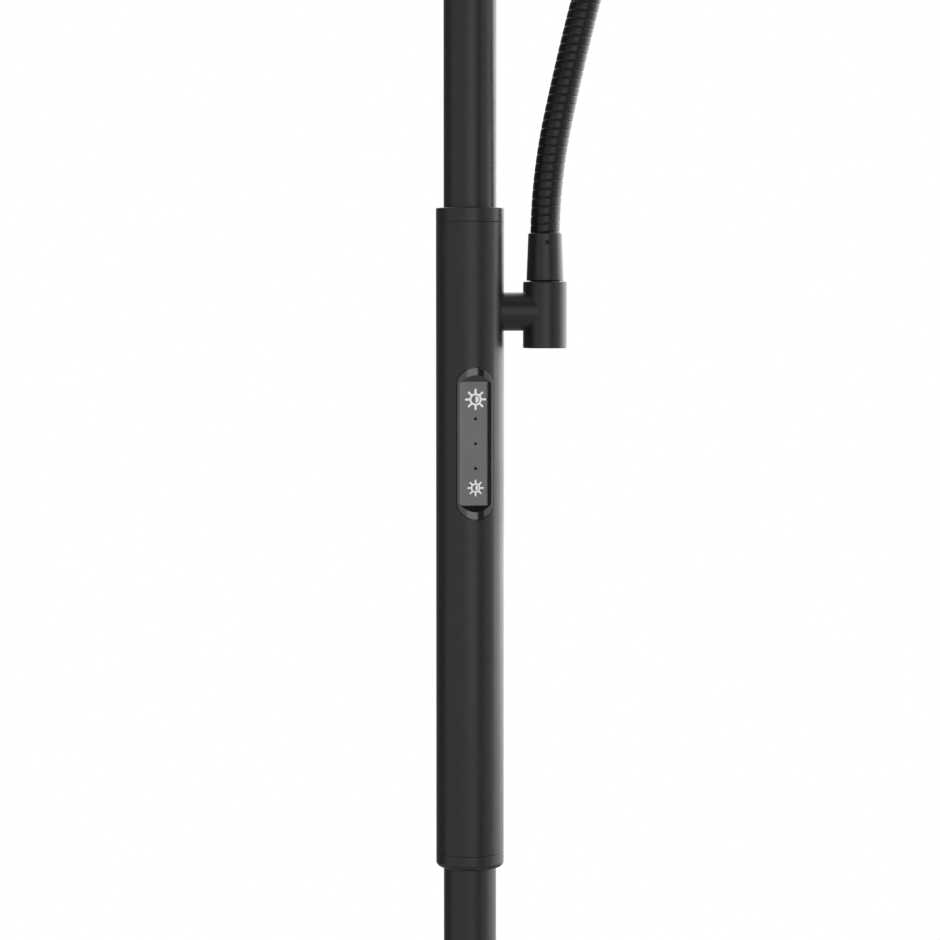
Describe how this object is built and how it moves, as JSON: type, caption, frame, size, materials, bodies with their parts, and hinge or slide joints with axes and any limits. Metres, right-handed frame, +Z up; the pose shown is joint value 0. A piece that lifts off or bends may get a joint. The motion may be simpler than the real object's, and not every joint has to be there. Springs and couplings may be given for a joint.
{
  "type": "reading floor lamp",
  "caption": "Black floor lamp: round weighted foot, slim pole with a thicker touch-control section, tilting disc uplight and a side gooseneck reading light on a swivel.",
  "frame": {"origin": "centre of the foot's underside, on the floor", "axes": "+Z up the pole, touch cover faces -Y, side arm leaves along +X"},
  "size_m": [0.5046, 0.2825, 1.804],
  "materials": {
    "black_paint": "satin black powder coat",
    "hose_black": "satin black lacquer on a wound steel hose",
    "cast_iron": "rough",
    "foot_pad": "matt foam",
    "zinc_steel": "zinc plated",
    "black_screw": "black oxide",
    "black_plastic": "matt",
    "touch_gloss": "dark gloss",
    "icon_white": "white print",
    "dot_black": "dark lens",
    "board_green": "solder mask",
    "driver_white": "plain",
    "lead_rubber": "cable sheath",
    "board_alloy": "white solder mask on alloy",
    "sink_alloy": "machined",
    "reflector_alloy": "polished",
    "opal": "opal diffuser",
    "ring_white": "plain"
  },
  "bodies": {
    "stand": {"base_pad": "foot_pad", "base_weight": "cast_iron", "base_cover": "black_paint", "foot_nipple": "zinc_steel", "foot_washer": "zinc_steel", "foot_nut": "zinc_steel", "pole_foot_plug": "zinc_steel", "cord_gland": "black_plastic", "lower_pole": "black_paint", "upper_pole": "black_paint", "housing_tube": "black_paint", "bottom_cap": "black_paint", "top_cap": "black_paint", "cap_screws": "black_screw", "touch_cover": "touch_gloss", "panel_icons": "icon_white", "indicator_dots": "dot_black", "sensor_board": "board_green", "led_driver": "driver_white", "uplight_lead": "lead_rubber", "side_tee": "black_paint", "stub_saddle": "zinc_steel", "stub_nut": "zinc_steel", "tee_plug": "black_paint", "swivel_washer": "black_plastic", "pole_top_fork": "black_paint", "tilt_washers": "black_plastic", "tilt_bolt": "black_screw", "tilt_nut": "black_screw"},
    "arm_root": {"swivel_shaft": "zinc_steel", "swivel_nut": "zinc_steel", "swivel_stop_pin": "zinc_steel", "arm_ferrule": "black_paint", "ferrule_screw": "black_screw", "gooseneck_1": "hose_black"},
    "neck_2": {"gooseneck_2": "hose_black"},
    "neck_3": {"gooseneck_3": "hose_black"},
    "neck_4": {"gooseneck_4": "hose_black"},
    "neck_5": {"gooseneck_5": "hose_black"},
    "neck_6": {"gooseneck_6": "hose_black"},
    "neck_7": {"gooseneck_7": "hose_black"},
    "reading_head": {"gooseneck_8": "hose_black", "head_ferrule": "black_paint", "head_ferrule_screw": "black_screw", "head_shell": "black_paint", "head_heat_sink": "sink_alloy", "reading_led_board": "board_alloy", "reading_reflector": "reflector_alloy", "reading_lens": "opal", "head_ring": "black_paint"},
    "uplight": {"tilt_knuckle": "black_paint", "knuckle_screws": "black_screw", "uplight_dish": "black_paint", "uplight_led_board": "board_alloy", "diffuser_ring": "ring_white", "uplight_diffuser": "opal"}
  },
  "joints": [
    {"name": "arm_swivel", "type": "hinge", "parent": "stand", "child": "arm_root", "pos_m": [0.03685, 0, 1.185], "axis": [0, 0, 1], "range_deg": [-120, 120]},
    {"name": "neck_bend_1", "type": "hinge", "parent": "arm_root", "child": "neck_2", "pos_m": [0.04302, 0, 1.26227], "axis": [0, 1, 0], "range_deg": [-25, 12]},
    {"name": "neck_bend_2", "type": "hinge", "parent": "neck_2", "child": "neck_3", "pos_m": [0.05558, 0, 1.3154], "axis": [0, 1, 0], "range_deg": [-25, 12]},
    {"name": "neck_bend_3", "type": "hinge", "parent": "neck_3", "child": "neck_4", "pos_m": [0.07493, 0, 1.36634], "axis": [0, 1, 0], "range_deg": [-25, 12]},
    {"name": "neck_bend_4", "type": "hinge", "parent": "neck_4", "child": "neck_5", "pos_m": [0.10869, 0, 1.40878], "axis": [0, 1, 0], "range_deg": [-25, 12]},
    {"name": "neck_bend_5", "type": "hinge", "parent": "neck_5", "child": "neck_6", "pos_m": [0.15728, 0, 1.43248], "axis": [0, 1, 0], "range_deg": [-25, 12]},
    {"name": "neck_bend_6", "type": "hinge", "parent": "neck_6", "child": "neck_7", "pos_m": [0.21131, 0, 1.43059], "axis": [0, 1, 0], "range_deg": [-25, 12]},
    {"name": "neck_bend_7", "type": "hinge", "parent": "neck_7", "child": "reading_head", "pos_m": [0.25891, 0, 1.40475], "axis": [0, 1, 0], "range_deg": [-25, 12]},
    {"name": "uplight_tilt", "type": "hinge", "parent": "stand", "child": "uplight", "pos_m": [0, 0, 1.766], "axis": [1, 0, 0], "range_deg": [-80, 80]}
  ]
}
